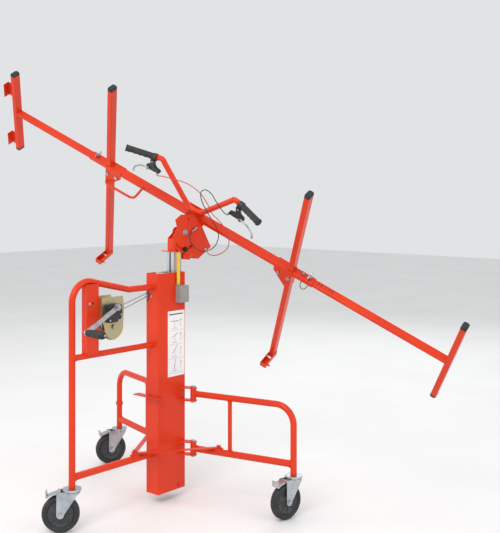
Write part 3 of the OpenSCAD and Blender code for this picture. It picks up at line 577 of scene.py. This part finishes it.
for k in range(RIVETS):
    a = 2 * math.pi * k / RIVETS
    spot = DRUM @ Matrix.Translation((RIVET_RING * math.cos(a), RIVET_RING * math.sin(a), 0))
    screw(f"gear_rivet_{k}", 4.2, 31.0, 31.6, 3.4, 20, GOLD, "drum", spot,
          0.5, GEAR_HIGH)

# ---- winch cover: raised face and one large rounded corner ----
CORNER_R = 38
CORNER_Y, CORNER_Z = -343, 854


def cover_outline(inset):
    """Outline in (y, z), drawn in by inset all round."""
    r = CORNER_R - inset
    arc = [(CORNER_Y + r * math.cos(a), CORNER_Z + r * math.sin(a))
           for a in (math.radians(15 - 105 * k / 20) for k in range(21))]
    return arc + [(-374 + inset, 816 + inset), (-381 + inset, 822 + inset),
                  (-383 + inset, 884 - inset), (-377 + inset, 890 - inset),
                  (-318 - inset, 890 - inset), (-308 - inset, 884 - inset)]


CASE = Matrix.Rotation(QUARTER, 4, "Z") @ Matrix.Rotation(QUARTER, 4, "X")
cover = prism("winch_cover_case", cover_outline(0), 39, 61, PLASTIC, "base", CASE)
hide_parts("winch_cover")
prism("winch_cover_face", cover_outline(2.5), 60.5, 63, PLASTIC, "base", CASE)
for k, (y, z) in enumerate(((-326, 824), (-314, 846), (-372, 826))):
    screw(f"cover_screw_{k}", 4.2, 1.4, 2.2, 3.2, 24, ZINC, "base",
          CASE @ Matrix.Translation(Vector((y, z, 62.6)) * MM))

# ---- wheels: moulded hub faces with ribs, and the casters' ball races ----
# where each kingpin stands, and the turn of its fork in degrees
CASTERS = {"a": ((0, -0.516, 0), 226), "b": ((0.56429, 0.18688, 0), 260),
           "c": ((-0.55602, 0.22006, 0), 243)}
TRAIL, AXLE_HIGH = 0.044, 0.075
HUB_BORE = 20.2
HUB_RINGS = [(HUB_BORE, 11.0), (HUB_BORE, 17.5), (22, 18.2), (24, 17), (25, 12.6), (33, 10.6),
             (44, 10.4), (46, 12.5), (48.5, 13.2), (50.5, 12.2), (51, 10.5), (49, 8.6),
             (HUB_BORE, 8.6), (HUB_BORE, 11.0)]
RIBS = 8
RIB_CORNERS = [(23, -1.6, 10.2), (47, -1.2, 10.2), (47, 1.2, 10.2), (23, 1.6, 10.2),
               (23, -1.3, 15.6), (47, -1.0, 12.6), (47, 1.0, 12.6), (23, 1.3, 15.6)]
BOX_FACES = ((0, 3, 2, 1), (4, 5, 6, 7), (0, 1, 5, 4), (1, 2, 6, 5), (2, 3, 7, 6), (3, 0, 4, 7))
RACE_RING, RACE_HIGH, RACE_R = 30.4, 158.6, 2.6
for tag, (where, angle) in CASTERS.items():
    spin = (Matrix.Translation(where) @ Matrix.Rotation(math.radians(angle), 4, "Z")
            @ Matrix.Translation((TRAIL, 0, AXLE_HIGH)) @ Matrix.Rotation(QUARTER, 4, "X"))
    for flip, end in ((0, "l"), (math.pi, "r")):
        face = spin @ Matrix.Rotation(flip, 4, "X")
        verts, faces = lathe_data(HUB_RINGS, 72)
        piece(f"wheel_{tag}_hub_{end}", verts, faces, HUB, "wheel_" + tag, face)
        ribs_v, ribs_f = [], []
        for k in range(RIBS):
            turn = Matrix.Rotation(2 * math.pi * k / RIBS, 4, "Z")
            at = len(ribs_v)
            ribs_v += [turn @ (Vector(c) * MM) for c in RIB_CORNERS]
            ribs_f += [tuple(at + i for i in f) for f in BOX_FACES]
        piece(f"wheel_{tag}_ribs_{end}", ribs_v, ribs_f, HUB, "wheel_" + tag, face,
              False)
    race = Matrix.Translation(where)
    verts, faces = lathe_data([(RACE_RING + RACE_R * math.cos(a), RACE_HIGH + RACE_R * math.sin(a))
                               for a in (2 * math.pi * k / 16 for k in range(17))], 64)
    piece(f"caster_{tag}_race", verts, faces, ZINC, "caster_" + tag, race, sharp=80)

# ---- weld beads where tubes meet ----
BEAD_R = 2.2
BEAD_RIPPLE, BEAD_RIPPLES = 0.35, 24


def bead(name, centre, along, radius, body):
    """Rippled ring round a tube of that radius, square to the direction along."""
    spot = aimed(Vector(centre) * MM, (Vector(centre) + Vector(along)) * MM)
    ring = [(radius + 0.3 + BEAD_R * math.cos(2 * math.pi * k / 12),
             BEAD_R * math.sin(2 * math.pi * k / 12)) for k in range(13)]

    def rippled(r, z, a):
        return r + BEAD_RIPPLE * math.sin(a * BEAD_RIPPLES) * (r > radius)

    verts, faces = lathe_data(ring, 60, rippled)
    piece(name, verts, faces, PAINT, body, spot, sharp=80)


for k, (centre, along, radius) in enumerate((
        ((0, -83.5, 686), (0, 1, 0), 12.5), ((0, -502.5, 686), (0, 1, 0), 12.5),
        ((0, -83.5, 214), (0, 1, 0), 14.5), ((0, -502.5, 214), (0, 1, 0), 14.5),
        ((0, -83.5, 935.1), (0, 1, 0), 13.5))):
    bead(f"weld_front_{k}", centre, along, radius, "base")
for tag, body, origin, turn in (("b", "leg_b", Vector((85, 85, 0)), math.radians(12)),
                                ("c", "leg_c", Vector((-85, 85, 0)), math.radians(164))):
    out = Vector((math.cos(turn), math.sin(turn), 0))
    for k, (reach, z, along, radius) in enumerate((
            (13.5, 457.5, out, 13.5), (13.5, 217, out, 14.5), (476, 217, out, 14.5),
            (186, 232, Vector((0, 0, 1)), 9), (186, 443.5, Vector((0, 0, 1)), 9))):
        bead(f"weld_{tag}_{k}", origin + out * reach + Vector((0, 0, z)), along, radius, body)

# ---- pictogram sheet on the mast, without words ----
SHEET = (Matrix.Translation(Vector((38.05, 26, 682)) * MM) @ Matrix.Rotation(QUARTER, 4, "Z")
         @ Matrix.Rotation(QUARTER, 4, "X"))
HALF_WIDE, HALF_HIGH = 51, 143
PAPER = layered("label_film", [(0.3, (0.78, 0.78, 0.77)), (0.7, (0.85, 0.85, 0.84))],
                12.0, (0.35, 0.45), 0.0, 300, 0.02)
INK = layered("label_ink", [(0.3, (0.03, 0.03, 0.035)), (0.7, (0.06, 0.06, 0.07))],
              80.0, (0.4, 0.5), 0.0, 300, 0.02)
prism("label_sheet", [(-HALF_WIDE, -HALF_HIGH), (HALF_WIDE, -HALF_HIGH), (HALF_WIDE, HALF_HIGH),
                      (-HALF_WIDE, HALF_HIGH)], 0.0, 0.25, PAPER, "base", SHEET)
ink_v, ink_f = [], []


def stroke(x0, y0, x1, y1, w=1.2):
    """Flat bar of ink from one point of the sheet to another, w wide."""
    dx, dy = x1 - x0, y1 - y0
    size = math.hypot(dx, dy)
    nx, ny = -dy / size * w / 2, dx / size * w / 2
    at = len(ink_v)
    corners = ((x0 + nx, y0 + ny), (x1 + nx, y1 + ny), (x1 - nx, y1 - ny), (x0 - nx, y0 - ny))
    for z in (0.2, 0.34):
        ink_v.extend([(x * MM, y * MM, z * MM) for x, y in corners])
    ink_f.extend([(at, at + 1, at + 2, at + 3), (at + 7, at + 6, at + 5, at + 4),
                  (at, at + 4, at + 5, at + 1), (at + 1, at + 5, at + 6, at + 2),
                  (at + 2, at + 6, at + 7, at + 3), (at + 3, at + 7, at + 4, at)])


# a heading bar, then four rows: a lift with its cradle at rising tilt, and an arrow up
stroke(-44, 128, 40, 128, 5)
for row, tilt in enumerate((0.0, 0.45, 0.9, 1.3)):
    y = 92 - row * 62
    stroke(-8, y - 26, -8, y + 6)
    stroke(-8, y - 24, -26, y - 26)
    stroke(-8, y - 24, 8, y - 27)
    cx, cy = 24 * math.cos(tilt), 24 * math.sin(tilt)
    stroke(-8 - cx, y + 6 - cy, -8 + cx, y + 6 + cy, 2)
    stroke(28, y - 20, 28, y + 14)
    stroke(28, y + 14, 22, y + 6)
    stroke(28, y + 14, 34, y + 6)
    stroke(-40, y - 34, 42, y - 34, 0.7)
piece("label_pictograms", ink_v, ink_f, INK, "base", SHEET, False)

# ---- length scale on the right extension ----
MARK = layered("scale_print", [(0.3, (0.05, 0.012, 0.01)), (0.7, (0.09, 0.02, 0.015))],
               90.0, (0.45, 0.55), 0.0, 300, 0.02)
for mark, u in (("2", 646), ("5", 662), ("line", 680), ("2", 700), ("4", 716)):
    if mark == "line":
        prism("scale_line", [(u - 1, -9), (u + 1, -9), (u + 1, 9), (u - 1, 9)], 9.66, 9.9, MARK,
              "extension_right", AT_CRADLE)
        continue
    text = bpy.data.curves.new(f"digit_{u}", "FONT")
    text.body = mark
    text.size = 22 * MM
    text.extrude = 0.12 * MM
    text.align_x = "CENTER"
    text.align_y = "CENTER"
    holder = bpy.data.objects.new(f"digit_{u}", text)
    bpy.context.scene.collection.objects.link(holder)
    bpy.context.view_layer.update()
    shaped = holder.evaluated_get(bpy.context.evaluated_depsgraph_get())
    flat = bpy.data.meshes.new_from_object(shaped)
    bpy.data.objects.remove(holder)
    flat.transform(AT_CRADLE @ Matrix.Translation(Vector((u, 0, 9.8)) * MM))
    flat.materials.clear()
    flat.materials.append(MARK)
    digit = bpy.data.objects.new(f"scale_digit_{u}", flat)
    bpy.context.scene.collection.objects.link(digit)
    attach(digit, "extension_right")

# ---- wire clip under the right clamp, and the screws of tape box, mast and winch post ----
clip = smooth_route([(604, -6, -12), (605, -12, -17), (603, -22, -26), (596, -28, -36),
                     (584, -29, -38), (575, -26, -30), (573, -20, -18), (574, -12, -12)], 6)
tube("wire_clip", clip, 1.7, DARK, "cradle", AT_CRADLE, 12)
for k, (y, z) in enumerate(((29, 868), (71, 868), (29, 928), (71, 928))):
    spot = Matrix.Translation(Vector((66, y, z)) * MM) @ Matrix.Rotation(QUARTER, 4, "Y")
    screw(f"tape_screw_{k}", 3.0, 0.7, 1.2, 2.2, 20, ZINC, "base", spot)
for name, where, aim in (("pin_screw", (-3, -82.5, 894), (0, -1, 0)),
                         ("post_screw", (20, -445, 897), (1, 0, 0))):
    spot = aimed(Vector(where) * MM, (Vector(where) + Vector(aim)) * MM)
    screw(name, 6, 2.6, 4.0, 4.6, 28, ZINC, "base", spot)
